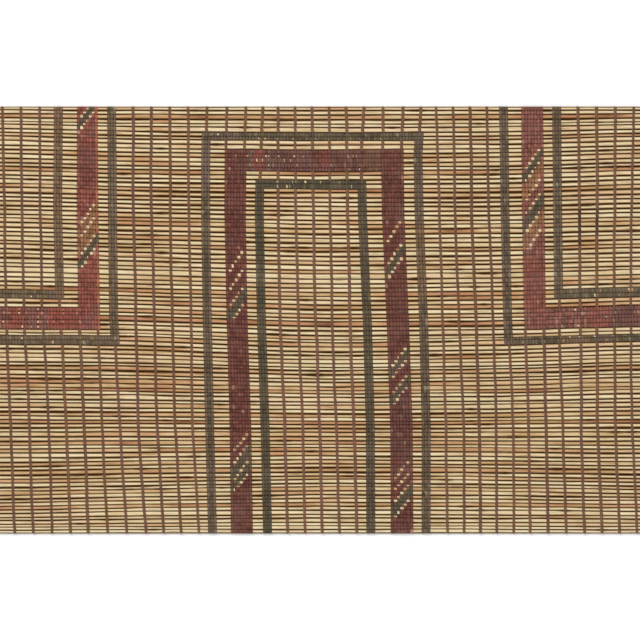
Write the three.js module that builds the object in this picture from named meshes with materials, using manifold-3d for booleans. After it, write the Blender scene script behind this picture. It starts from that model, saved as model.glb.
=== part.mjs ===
// Reed and leather mat: a flat cut length of straight reeds, twined together by leather thongs.
// Millimetres. X runs along the reeds, Y across them, +Z is up. The origin lies under the mat's middle.
import * as THREE from "three";
import { mergeVertices } from "three/addons/utils/BufferGeometryUtils.js";
import Module from "manifold-3d";

// Reeds
const reedLength = 440;
const reedCount = 103;
const matDepth = 294; // across the reeds
const thickReeds = 56; // the reeds towards the top edge are a little thicker than the rest
const thickPitch = 3;
const thinPitch = (matDepth - thickReeds * thickPitch) / (reedCount - thickReeds);
const reedHeight = 3;
const reedThinning = 0.25; // a thin reed's crown lies this much lower
const grooveDepth = 1; // between two reeds, on both faces
const grooveWander = 0.38; // how far a groove strays from its even place
const crownShare = 0.44; // the flat part of a reed's pitch
const reedStretches = 4; // a reed changes its width and place this many times along its length

// Leather
const pieceGap = 0.3; // between pieces that lie on each other
const thongWidth = 1.7;
const thongThickness = 0.6;
const thongCrown = 0.6; // a thong's top is this share of its width
const thongWander = 0.25;
const thongStep = 20; // a thong shifts a little at each such step
const thongEndGap = 0.8; // between a thong's end and a bar's edge
const shortestRun = 4; // reeds; shorter runs between two bars are part of the surface finish
const bandThickness = 0.7;
const bandRib = 0.25; // a band's rise over each reed
const barLift = 0.05; // a bar stands this much prouder than its legs
const edgeInset = 0.4; // the leather ends this far inside the mat's cut edges
const greenLegWidth = 5.6;
const redLegBefore = 0.8; // a red leg reaches this far past its first line
const redLegAfter = 1.7; // and this far past its last
const supportReeds = 8; // a band's underside has a point at each eighth reed

const leatherFloor = reedHeight + pieceGap;

const colours = {
  reed: new THREE.Color(0.8, 0.66, 0.42),
  thong: new THREE.Color(0.36, 0.23, 0.17),
  green: new THREE.Color(0.2, 0.22, 0.16),
  red: new THREE.Color(0.36, 0.14, 0.12),
};

// The upright lines of twining lean to the right towards the foot of the mat.
// Each row gives a line's place along the reeds at the mat's top edge, middle and foot.
// The lines between two rows are evenly spread.
const guides = [
  { line: 1, top: -218.6, middle: -214.8, foot: -210.0 },
  { line: 4, top: -180.5, middle: -178.4, foot: -171.5 },
  { line: 5, top: -165.7, middle: -164.7, foot: -159.2 },
  { line: 6, top: -154.7, middle: -153.3, foot: -145.8 },
  { line: 7, top: -142.7, middle: -140.3, foot: -132.7 },
  { line: 12, top: -78.0, middle: -77.3, foot: -73.2 },
  { line: 13, top: -63.9, middle: -62.9, foot: -58.8 },
  { line: 14, top: -51.6, middle: -51.2, foot: -46.4 },
  { line: 15, top: -40.9, middle: -39.9, foot: -35.8 },
  { line: 21, top: 29.9, middle: 32.7, foot: 35.8 },
  { line: 22, top: 43.0, middle: 47.4, foot: 51.6 },
  { line: 23, top: 56.4, middle: 60.2, foot: 63.6 },
  { line: 24, top: 67.0, middle: 71.5, foot: 73.9 },
  { line: 29, top: 126.2, middle: 129.9, foot: 133.4 },
  { line: 30, top: 140.3, middle: 142.3, foot: 144.4 },
  { line: 31, top: 151.9, middle: 154.0, foot: 156.8 },
  { line: 32, top: 162.9, middle: 165.0, foot: 169.1 },
  { line: 36, top: 215.9, middle: 213.8, foot: 218.2 },
];
const lineCount = 36;

// The reeds bow a little. Each row gives how far their left and right ends lie towards the top edge,
// against their middle, at one place across the mat.
const bows = [
  { y: 147, left: 0, right: 0 },
  { y: 126, left: 3.2, right: 3.0 },
  { y: 96, left: 3.2, right: 4.0 },
  { y: 63, left: 4.0, right: 3.0 },
  { y: 21, left: 4.8, right: 2.8 },
  { y: -15, left: 4.4, right: 3.2 },
  { y: -42, left: 1.2, right: 3.2 },
  { y: -75, left: 0.6, right: 2.0 },
  { y: -104, left: -2.6, right: -0.6 },
  { y: -128, left: -3.4, right: -0.6 },
  { y: -147, left: 0, right: 0 },
];

// Each ring is one bar along the reeds and the legs that turn off it.
// firstReed counts from the top edge. A leg stands on one line (green) or from one line to the next (red).
// runsOff names the cut side that the bar runs off at; the legs of such a ring run up, the others' down.
const rings = [
  { name: "left_inner_green", colour: "green", firstReed: 43, reeds: 2, legs: [[4]], runsOff: "left" },
  { name: "left_red", colour: "red", firstReed: 47, reeds: 5, legs: [[5, 6]], runsOff: "left" },
  { name: "left_outer_green", colour: "green", firstReed: 54, reeds: 2, legs: [[7]], runsOff: "left" },
  { name: "centre_outer_green", colour: "green", firstReed: 6, reeds: 2, legs: [[12], [24]] },
  { name: "centre_red", colour: "red", firstReed: 10, reeds: 5, legs: [[13, 14], [22, 23]] },
  { name: "centre_inner_green", colour: "green", firstReed: 17, reeds: 2, legs: [[15], [21]] },
  { name: "right_outer_green", colour: "green", firstReed: 53, reeds: 2, legs: [[29]], runsOff: "right" },
  { name: "right_red", colour: "red", firstReed: 46, reeds: 5, legs: [[30, 31]], runsOff: "right" },
  { name: "right_inner_green", colour: "green", firstReed: 42, reeds: 2, legs: [[32]], runsOff: "right" },
];

const wasm = await Module();
wasm.setup();

// A repeatable value from -1 to 1 for the hand-made unevenness.
function uneven(a, b) {
  const value = Math.sin(a * 12.9898 + b * 78.233) * 43758.5453;
  return 2 * (value - Math.floor(value)) - 1;
}

// The place across the mat of the groove before a reed, counted from the top edge.
function grooveY(index) {
  const thick = Math.min(index, thickReeds) * thickPitch;
  const thin = Math.max(index - thickReeds, 0) * thinPitch;
  return matDepth / 2 - thick - thin;
}

// How far a reed that is at y in its middle has strayed from there at x.
function bowAt(x, y) {
  const after = bows.find((bow) => bow.y <= y) ?? bows.at(-1);
  const before = bows.findLast((bow) => bow.y >= y) ?? bows[0];
  const side = x < 0 ? "left" : "right";
  const share = after === before ? 0 : (before.y - y) / (before.y - after.y);
  return THREE.MathUtils.lerp(before[side], after[side], share) * ((2 * x) / reedLength) ** 2;
}

// A guide's place along the reeds: a smooth bend through its three values.
function guideX(guide, y) {
  const t = (2 * y) / matDepth;
  const lean = (guide.top - guide.foot) / 2;
  const bend = (guide.top + guide.foot) / 2 - guide.middle;
  return guide.middle + lean * t + bend * t * t;
}

// Any line's place along the reeds, spread evenly between the guides on its two sides.
function lineX(line, y) {
  const after = guides.find((guide) => guide.line >= line);
  const before = guides.findLast((guide) => guide.line <= line);
  if (after === before) return guideX(after, y);
  const share = (line - before.line) / (after.line - before.line);
  return THREE.MathUtils.lerp(guideX(before, y), guideX(after, y), share);
}

// The two edges of a leg at a place across the mat.
function legEdges(leg, y) {
  if (leg.length === 1) {
    const middle = lineX(leg[0], y);
    return [middle - greenLegWidth / 2, middle + greenLegWidth / 2];
  }
  return [lineX(leg[0], y) - redLegBefore, lineX(leg[1], y) + redLegAfter];
}

// The two ends of a ring's bar along the reeds.
function barEnds(ring) {
  const y = grooveY(ring.firstReed + ring.reeds / 2);
  const cutEnd = reedLength / 2 - edgeInset;
  const start = ring.runsOff === "left" ? -cutEnd : legEdges(ring.legs[0], y)[0];
  const end = ring.runsOff === "right" ? cutEnd : legEdges(ring.legs.at(-1), y)[1];
  return [start, end];
}

// Keeps a leather piece's end inside the mat's cut edge.
function insideEdge(y) {
  const limit = matDepth / 2 - edgeInset;
  return THREE.MathUtils.clamp(y, -limit, limit);
}

function closed(geometry) {
  const merged = geometry.clone();
  merged.deleteAttribute("normal");
  merged.deleteAttribute("uv");
  return mergeVertices(merged, 1e-4);
}

function asSolid(geometry) {
  const merged = closed(geometry);
  return new wasm.Manifold(
    new wasm.Mesh({
      numProp: 3,
      vertProperties: new Float32Array(merged.attributes.position.array),
      triVerts: new Uint32Array(merged.index.array),
    }),
  );
}

function asGeometry(solid) {
  const mesh = solid.getMesh();
  return new THREE.BufferGeometry()
    .setAttribute("position", new THREE.BufferAttribute(new Float32Array(mesh.vertProperties), 3))
    .setIndex(new THREE.BufferAttribute(new Uint32Array(mesh.triVerts), 1));
}

function movePoints(geometry, place) {
  const points = geometry.attributes.position;
  const point = new THREE.Vector3();
  for (let i = 0; i < points.count; i += 1) {
    point.fromBufferAttribute(points, i);
    place(point);
    points.setXYZ(i, point.x, point.y, point.z);
  }
  return geometry;
}

// The reeds: a slab whose two faces have a rib for each reed, three rows of points to a rib.
function reedGround() {
  const rowsPerReed = 3;
  const rows = reedCount * rowsPerReed;
  const slab = new THREE.BoxGeometry(reedLength, matDepth, reedHeight, reedStretches, rows, 1);
  return movePoints(slab, (point) => {
    const row = Math.round((0.5 - point.y / matDepth) * rows);
    const stretch = Math.round((0.5 + point.x / reedLength) * reedStretches);
    const reed = Math.floor(row / rowsPerReed);
    const part = row % rowsPerReed;
    const atEdge = row === 0 || row === rows;
    const wander = atEdge ? 0 : grooveWander * uneven(part === 2 ? reed + 1 : reed, stretch);
    const crownStart = (1 - crownShare) / 2;
    const across = [0, crownStart, 1 - crownStart][part];
    const isTop = point.z > 0;
    const thin = reedThinning * (0.5 + 0.5 * uneven(reed, stretch + reedCount));
    const evenY = grooveY(reed + across);
    point.y = evenY + wander + bowAt(point.x, evenY);
    if (part === 0) {
      point.z = isTop ? reedHeight - grooveDepth : grooveDepth;
    } else {
      point.z = isTop ? reedHeight - thin : 0;
    }
  });
}

// A band of packed thongs over a stretch of reeds: flat beneath, with a rib over each reed.
// edges(y) gives its two sides along the reeds.
function ribbedStrip(firstReed, lastReed, lift, edges) {
  const floor = leatherFloor + lift;
  const groove = floor + bandThickness - bandRib;
  const crown = floor + bandThickness;
  const outline = [];
  for (let reed = firstReed; reed < lastReed; reed += supportReeds) {
    outline.push([insideEdge(grooveY(reed)), floor]);
  }
  outline.push([insideEdge(grooveY(lastReed)), floor]);
  for (let reed = lastReed; reed > firstReed; reed -= 1) {
    outline.push([insideEdge(grooveY(reed)), groove]);
    outline.push([grooveY(reed - 0.5), crown]);
  }
  outline.push([insideEdge(grooveY(firstReed)), groove]);
  const shape = new THREE.Shape(outline.map(([y, z]) => new THREE.Vector2(y, z)));
  const strip = new THREE.ExtrudeGeometry(shape, { depth: 1, bevelEnabled: false });
  const turn = new THREE.Matrix4().makeBasis(
    new THREE.Vector3(0, 1, 0),
    new THREE.Vector3(0, 0, 1),
    new THREE.Vector3(1, 0, 0),
  );
  strip.applyMatrix4(turn);
  return movePoints(strip, (point) => {
    const [start, end] = edges(point.y);
    point.x = THREE.MathUtils.lerp(start, end, point.x);
    point.y += bowAt(point.x, point.y);
  });
}

// The reeds that a leg passes: from its bar, which it overlaps by one reed, to the cut edge.
function legReeds(ring) {
  if (ring.runsOff) return [0, ring.firstReed + 1];
  return [ring.firstReed + ring.reeds - 1, reedCount];
}

function bandRing(ring) {
  const ends = barEnds(ring);
  const bar = ribbedStrip(ring.firstReed, ring.firstReed + ring.reeds, barLift, () => ends);
  const [firstReed, lastReed] = legReeds(ring);
  const legs = ring.legs.map((leg) => ribbedStrip(firstReed, lastReed, 0, (y) => legEdges(leg, y)));
  const whole = legs.reduce((sum, leg) => sum.add(asSolid(leg)), asSolid(bar));
  return asGeometry(whole);
}

// The stretches of reeds over which a line is hidden in a band.
function hiddenReeds(line) {
  return rings.flatMap((ring) => {
    const [start, end] = barEnds(ring);
    const x = lineX(line, grooveY(ring.firstReed + ring.reeds / 2));
    const isLeg = ring.legs.some((leg) => leg.includes(line));
    if (!isLeg && (x < start || x > end)) return [];
    const barLast = ring.firstReed + ring.reeds;
    if (!isLeg) return [[ring.firstReed, barLast]];
    return ring.runsOff ? [[0, barLast]] : [[ring.firstReed, reedCount]];
  });
}

// The stretches of reeds over which a line shows as a ground thong.
function shownRuns(line) {
  const hidden = hiddenReeds(line).sort((a, b) => a[0] - b[0]);
  const runs = [];
  let start = 0;
  for (const [first, last] of [...hidden, [reedCount, reedCount]]) {
    if (first - start >= shortestRun) runs.push([start, first]);
    start = Math.max(start, last);
  }
  return runs;
}

function groundThong(line, firstReed, lastReed) {
  const barY = (reed) => grooveY(reed) + bowAt(lineX(line, grooveY(reed)), grooveY(reed));
  const startY = insideEdge(barY(firstReed) - (firstReed > 0 ? thongEndGap : 0));
  const endY = insideEdge(barY(lastReed) + (lastReed < reedCount ? thongEndGap : 0));
  const steps = Math.ceil((startY - endY) / thongStep);
  const strip = new THREE.BoxGeometry(thongWidth, 1, thongThickness, 1, steps, 1);
  return movePoints(strip, (point) => {
    const step = Math.round((0.5 - point.y) * steps);
    const isTop = point.z > 0;
    point.y = THREE.MathUtils.lerp(startY, endY, step / steps);
    point.x = point.x * (isTop ? thongCrown : 1) + lineX(line, point.y) + thongWander * uneven(line, step);
    point.z = leatherFloor + (isTop ? thongThickness : 0);
  });
}

function leather(colour) {
  return new THREE.MeshStandardMaterial({ color: colours[colour], roughness: 0.75, metalness: 0 });
}

function addPiece(group, name, geometry, material) {
  const mesh = new THREE.Mesh(geometry, material);
  mesh.name = name;
  group.add(mesh);
}

const mat = new THREE.Group();
mat.name = "reed_and_leather_mat";

const reedFinish = new THREE.MeshStandardMaterial({ color: colours.reed, roughness: 0.6, metalness: 0 });
addPiece(mat, "reed_ground", closed(reedGround()), reedFinish);

const bands = new THREE.Group();
for (const ring of rings) addPiece(bands, `${ring.name}_band`, bandRing(ring), leather(ring.colour));
mat.add(bands);

const thongs = new THREE.Group();
for (let line = 1; line <= lineCount; line += 1) {
  const runs = shownRuns(line);
  runs.forEach(([firstReed, lastReed], index) => {
    const place = runs.length > 1 ? ["_upper", "_lower"][index] : "";
    const name = `ground_thong_${String(line).padStart(2, "0")}${place}`;
    addPiece(thongs, name, closed(groundThong(line, firstReed, lastReed)), leather("thong"));
  });
}
mat.add(thongs);

export default mat;
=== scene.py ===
import math

import bpy
import numpy as np
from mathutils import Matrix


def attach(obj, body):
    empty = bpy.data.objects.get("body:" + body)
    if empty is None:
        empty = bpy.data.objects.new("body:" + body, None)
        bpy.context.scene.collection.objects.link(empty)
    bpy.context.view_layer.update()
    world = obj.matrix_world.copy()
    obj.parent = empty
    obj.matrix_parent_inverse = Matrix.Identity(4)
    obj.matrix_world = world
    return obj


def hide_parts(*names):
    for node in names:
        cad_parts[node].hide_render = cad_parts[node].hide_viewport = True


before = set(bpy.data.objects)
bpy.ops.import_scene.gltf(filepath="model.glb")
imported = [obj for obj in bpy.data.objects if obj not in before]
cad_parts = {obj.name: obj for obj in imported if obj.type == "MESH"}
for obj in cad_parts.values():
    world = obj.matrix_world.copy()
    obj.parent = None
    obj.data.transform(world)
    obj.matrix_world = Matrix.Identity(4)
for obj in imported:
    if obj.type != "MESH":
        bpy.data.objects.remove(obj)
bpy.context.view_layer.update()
print("frame loaded")

mm = 0.001

# The mat's weave, in millimetres. Reeds are counted from the far edge, lines from the left.
matSizes = {
    "length": 440.0,  # along the reeds
    "depth": 294.0,
    "reeds": 103,
    "thickReeds": 56,  # those towards the far edge are a little thicker
    "thickPitch": 3.0,
    "lines": 36,
    "greenLeg": 6.2,
    "redLegBefore": 0.8,  # a red leg reaches this far past its first line
    "redLegAfter": 1.7,  # and this far past its last
    "leatherReach": 0.6,  # the side rings' leather goes this far past the side edges
}
reedTotal = matSizes["reeds"]
half = matSizes["length"] / 2

# Where an upright line of twining stands, at six depths from the near edge to the far edge.
guideDepths = {"near": -147.0, "lower": -73.5, "middle": 0.0, "upper": 73.5, "high": 112.0, "far": 147.0}
guideRows = {
    1: {"far": -218.6, "high": -218.0, "upper": -217.3, "middle": -215.9, "lower": -212.4, "near": -210.0},
    4: {"far": -180.0, "high": -180.2, "upper": -180.5, "middle": -178.8, "lower": -174.2, "near": -171.5},
    5: {"far": -166.2, "high": -166.2, "upper": -166.2, "middle": -165.4, "lower": -161.8, "near": -159.4},
    6: {"far": -154.8, "high": -154.5, "upper": -154.2, "middle": -153.0, "lower": -150.0, "near": -145.9},
    7: {"far": -143.4, "high": -143.1, "upper": -142.8, "middle": -142.0, "lower": -137.5, "near": -132.8},
    8: {"far": -128.6, "high": -128.4, "upper": -128.4, "middle": -126.5, "lower": -124.4, "near": -119.6},
    11: {"far": -90.8, "high": -90.4, "upper": -90.1, "middle": -88.7, "lower": -87.3, "near": -83.2},
    12: {"far": -77.7, "high": -78.6, "upper": -78.7, "middle": -77.6, "lower": -75.9, "near": -73.9},
    13: {"far": -63.9, "high": -64.6, "upper": -64.9, "middle": -63.4, "lower": -61.2, "near": -60.4},
    14: {"far": -50.9, "high": -52.2, "upper": -52.8, "middle": -51.6, "lower": -49.0, "near": -47.8},
    15: {"far": -39.2, "high": -41.0, "upper": -41.8, "middle": -40.3, "lower": -37.8, "near": -36.0},
    16: {"far": -28.9, "high": -28.6, "upper": -28.2, "middle": -27.2, "lower": -24.1, "near": -22.0},
    20: {"far": 17.9, "high": 18.2, "upper": 18.6, "middle": 20.6, "lower": 23.4, "near": 25.4},
    21: {"far": 30.3, "high": 28.4, "upper": 29.2, "middle": 32.6, "lower": 34.6, "near": 35.0},
    22: {"far": 43.3, "high": 42.8, "upper": 43.4, "middle": 46.7, "lower": 49.2, "near": 49.6},
    23: {"far": 57.1, "high": 55.8, "upper": 56.4, "middle": 59.5, "lower": 62.0, "near": 62.6},
    24: {"far": 69.4, "high": 67.4, "upper": 68.2, "middle": 71.3, "lower": 73.1, "near": 73.0},
    25: {"far": 79.8, "high": 80.8, "upper": 81.8, "middle": 84.6, "lower": 87.3, "near": 88.0},
    28: {"far": 114.8, "high": 115.5, "upper": 116.2, "middle": 118.9, "lower": 121.0, "near": 121.7},
    29: {"far": 126.2, "high": 126.8, "upper": 127.3, "middle": 129.2, "lower": 132.2, "near": 133.4},
    30: {"far": 139.4, "high": 139.6, "upper": 139.9, "middle": 141.6, "lower": 143.5, "near": 144.6},
    31: {"far": 151.7, "high": 152.2, "upper": 152.8, "middle": 153.7, "lower": 155.0, "near": 157.0},
    32: {"far": 162.8, "high": 163.1, "upper": 163.5, "middle": 164.4, "lower": 167.0, "near": 169.6},
    33: {"far": 177.4, "high": 178.2, "upper": 178.8, "middle": 178.8, "lower": 179.4, "near": 182.2},
    36: {"far": 215.9, "high": 215.2, "upper": 214.4, "middle": 213.8, "lower": 215.2, "near": 218.2},
}

# The reeds bow: how far they lie towards the far edge, in five places from the left end to the right end.
bowPlaces = {"left": -half, "midLeft": -137.0, "middle": 0.0, "midRight": 137.0, "right": half}
bowRows = [
    {"y": -147, "left": 0, "midLeft": 0, "middle": 0, "midRight": 0, "right": 0},
    {"y": -132, "left": -2.6, "midLeft": -1.4, "middle": 0, "midRight": -0.5, "right": -1.2},
    {"y": -117, "left": -3.6, "midLeft": -2.2, "middle": 0, "midRight": -1.0, "right": -2.2},
    {"y": -90, "left": -1.4, "midLeft": -0.8, "middle": 0, "midRight": -0.8, "right": -1.4},
    {"y": -65, "left": 1.4, "midLeft": 0.8, "middle": -0.4, "midRight": 0.2, "right": 1.8},
    {"y": -42, "left": 2.4, "midLeft": 1.8, "middle": -0.8, "midRight": 0.6, "right": 3.2},
    {"y": -21, "left": 4.4, "midLeft": 4.0, "middle": -1.2, "midRight": 0.6, "right": 3.6},
    {"y": -14, "left": 4.0, "midLeft": 3.8, "middle": -1.4, "midRight": 1.0, "right": 3.8},
    {"y": -8, "left": 3.4, "midLeft": 2.8, "middle": -1.8, "midRight": -0.8, "right": 1.8},
    {"y": 7, "left": 3.6, "midLeft": 2.6, "middle": -2.0, "midRight": -1.0, "right": 1.6},
    {"y": 14, "left": 2.9, "midLeft": 1.4, "middle": -2.2, "midRight": -1.8, "right": 0.8},
    {"y": 21, "left": 3.2, "midLeft": 1.2, "middle": -2.2, "midRight": -0.8, "right": 1.8},
    {"y": 45, "left": 4.4, "midLeft": 1.8, "middle": -1.6, "midRight": -0.6, "right": 1.6},
    {"y": 75, "left": 4.2, "midLeft": 2.0, "middle": -0.3, "midRight": 0.0, "right": 2.2},
    {"y": 100, "left": 4.0, "midLeft": 1.4, "middle": 0, "midRight": 1.2, "right": 4.0},
    {"y": 128, "left": 3.5, "midLeft": 1.2, "middle": 0, "midRight": 0.8, "right": 3.0},
    {"y": 147, "left": 0, "midLeft": 0, "middle": 0, "midRight": 0, "right": 0},
]

# One row for each ring of leather: its bar along the reeds and the legs that turn off it.
ringRows = [
    {"name": "left_inner_green", "dye": "green", "firstReed": 43, "reeds": 2, "legs": [[4]]},
    {"name": "left_red", "dye": "red", "firstReed": 47, "reeds": 5, "legs": [[5, 6]]},
    {"name": "left_outer_green", "dye": "green", "firstReed": 54, "reeds": 2, "legs": [[7]]},
    {"name": "centre_outer_green", "dye": "green", "firstReed": 6, "reeds": 2, "legs": [[12], [24]]},
    {"name": "centre_red", "dye": "red", "firstReed": 10, "reeds": 5, "legs": [[13, 14], [22, 23]]},
    {"name": "centre_inner_green", "dye": "green", "firstReed": 17, "reeds": 2, "legs": [[15], [21]]},
    {"name": "right_outer_green", "dye": "green", "firstReed": 53, "reeds": 2, "legs": [[29]]},
    {"name": "right_red", "dye": "red", "firstReed": 46, "reeds": 5, "legs": [[30, 31]]},
    {"name": "right_inner_green", "dye": "green", "firstReed": 42, "reeds": 2, "legs": [[32]]},
]


def evenGroove(row):
    # Where a groove would lie if the reeds were straight
    thick, thickPitch = matSizes["thickReeds"], matSizes["thickPitch"]
    thinPitch = (matSizes["depth"] - thick * thickPitch) / (reedTotal - thick)
    y = matSizes["depth"] / 2 - np.minimum(row, thick) * thickPitch
    return y - np.maximum(row - thick, 0) * thinPitch


def bowAt(x, y):
    # Read between the rows and the five places, and evened out over 50 mm so that no reed kinks.
    ys = [row["y"] for row in bowRows]
    rises = [np.interp(y, ys, [row[name] for row in bowRows]) for name in bowPlaces]
    steps = (-25, -12, 0, 12, 25)
    return sum(np.interp(x + step, list(bowPlaces.values()), rises) for step in steps) / len(steps)


def guideX(row, y):
    return np.interp(y, list(guideDepths.values()), [row[name] for name in guideDepths])


def lineX(line, y):
    # A line that has no row of its own stands evenly between the lines beside it that have one.
    before = max(key for key in guideRows if key <= line)
    after = min(key for key in guideRows if key >= line)
    if before == after:
        return guideX(guideRows[line], y)
    share = (line - before) / (after - before)
    return guideX(guideRows[before], y) * (1 - share) + guideX(guideRows[after], y) * share


def legEdges(leg, y):
    if len(leg) == 1:
        middle = lineX(leg[0], y)
        return middle - matSizes["greenLeg"] / 2, middle + matSizes["greenLeg"] / 2
    return lineX(leg[0], y) - matSizes["redLegBefore"], lineX(leg[1], y) + matSizes["redLegAfter"]


def barEnds(ring):
    # A side ring's bar runs to the cut edge, the centre rings' bars from leg to leg.
    y = evenGroove(ring["firstReed"] + ring["reeds"] / 2)
    cutEnd = half + matSizes["leatherReach"]
    start = -cutEnd if ring["name"].startswith("left") else legEdges(ring["legs"][0], y)[0]
    end = cutEnd if ring["name"].startswith("right") else legEdges(ring["legs"][-1], y)[1]
    return start, end


def legReeds(ring):
    if ring["name"].startswith("centre"):
        return ring["firstReed"], reedTotal
    return 0, ring["firstReed"] + ring["reeds"]


# The reeds: their unevenness is a sum of slow waves, the same wherever it is asked for.
reedSizes = {
    "gap": 0.05,
    "narrowest": 0.6,  # a reed's half width is never less
    "flattest": 1.1,  # nor its half height more than this share of its half width
    "wander": 0.17,  # how far a groove strays along its length
    "widthSpread": 0.5,  # how far a groove stands off its even place
    "height": 2.45,
    "heightSpread": 0.2,
    "underThong": 0.5,
    "endReach": 0.8,  # past the even edge
    "endSpread": 0.35,
    "cutRim": 0.25,  # the freshly cut rim at each end, paler than the sides
    "grooveShadeEdge": 0.38,  # the part of a reed's half width that takes the painted groove shade
    "grooveShadeSpread": 0.13,
    "grooveShadeWave": 0.09,
    "outerSideShade": 0.26,  # the outermost reeds take more painted shade on their outer sides
    "slits": 170,  # short dark slits where a reed has split along a groove, drawn by widening the painted groove shade
    "slitLength": 5.0,
    "slitDepth": 0.3,
    "mapWidth": 7.0,  # round a reed, on its own bake map
}

# Half of a split reed's section, from its back down to its belly, as shares of its half width and height.
reedSection = [
    {"across": 0.2, "up": 1.0},
    {"across": 0.5, "up": 0.9},
    {"across": 0.72, "up": 0.68},
    {"across": 0.88, "up": 0.38},
    {"across": 1.0, "up": -0.3},
    {"across": 0.6, "up": -1.0},
]

waveTerms = 4
waveDraw = np.random.default_rng(11)
grooveOffset = waveDraw.uniform(-1, 1, reedTotal + 1) * reedSizes["widthSpread"]
grooveOffset[0] = grooveOffset[-1] = 0
waveLength = waveDraw.uniform(40, 300, (reedTotal + 1, waveTerms))
wavePhase = waveDraw.uniform(0, 2 * math.pi, (reedTotal + 1, waveTerms))
# How much wider or narrower each groove's painted shade is; the mat's outer edges take more.
grooveShadeOffset = waveDraw.uniform(-1, 1, reedTotal + 1) * reedSizes["grooveShadeSpread"]
grooveShadeOffset[0] = grooveShadeOffset[-1] = reedSizes["outerSideShade"]
reedHeight = reedSizes["height"] + waveDraw.uniform(-1, 1, reedTotal) * reedSizes["heightSpread"]
slitGroove = waveDraw.integers(1, reedTotal, reedSizes["slits"])
slitPlace = waveDraw.uniform(-half, half, reedSizes["slits"])
slitReach = reedSizes["slitLength"] * waveDraw.uniform(0.3, 1, reedSizes["slits"])


def wave(index, x, part=0):
    # Part 0 strays a groove, part 2 changes a reed's tone and part 3 the width of its painted groove shade.
    total = 0
    for term in range(waveTerms):
        turn = 2 * math.pi * x / waveLength[index, term] + wavePhase[index, term]
        total = total + np.sin(turn + part * 2.1 * term + part)
    return total / 2


def grooveY(index, x):
    even = evenGroove(index)
    stray = reedSizes["wander"] * wave(index, x) if 0 < index < reedTotal else 0 * x
    return even + bowAt(x, even) + grooveOffset[index] + stray


def darkAt(index, x):
    # How much of a reed's half width takes painted shade beside this groove; the slits widen it
    share = reedSizes["grooveShadeEdge"] + grooveShadeOffset[index] + reedSizes["grooveShadeWave"] * wave(index, x, 3)
    for groove, place, reach in zip(slitGroove, slitPlace, slitReach):
        if groove == index:
            share = share + reedSizes["slitDepth"] * np.clip(1.5 - np.abs(x - place) / reach, 0, 1)
    return np.clip(share, 0.18, 0.85)


def reedForm(index, x):
    # A reed's middle, half width and half height at x; thin places are also lower.
    far = grooveY(index, x) - reedSizes["gap"] / 2
    near = grooveY(index + 1, x) + reedSizes["gap"] / 2
    halfWidth = np.maximum((far - near) / 2, reedSizes["narrowest"])
    halfHeight = np.minimum(reedHeight[index] / 2, halfWidth * reedSizes["flattest"])
    return (far + near) / 2, halfWidth, halfHeight


# Mesh building from arrays. Every piece brings a map of its own for baking, with no strip over another.
mapSizes = {"gap": 1.15, "slack": 1.02, "cap": 0.5, "capRadius": 0.4}


def tubeFaces(rings, sides, first):
    # Quads between the rings of one closed tube, and its two end caps.
    step = np.arange(rings - 1)[:, None] * sides
    side = np.arange(sides)[None, :]
    nextSide = (side + 1) % sides
    quads = np.stack([step + side, step + nextSide, step + sides + nextSide, step + sides + side], axis=-1)
    caps = np.array([np.arange(sides)[::-1], (rings - 1) * sides + np.arange(sides)])
    return quads.reshape(-1, 4) + first, caps + first


def packStrips(lengths, across, capLength):
    # Lays equal-width strips side by side on a square map: each strip's corner, and the square's side.
    full = np.array(lengths) + 2 * capLength
    height = max(full.max(), math.sqrt(full.sum() * across))
    ceiling = height * mapSizes["slack"]
    corners, column, level = [], 0, 0.0
    for length in full:
        if level + length > ceiling:
            column, level = column + 1, 0.0
        corners.append((column * across, level))
        level += length
    return corners, max(ceiling, (column + 1) * across)


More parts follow.
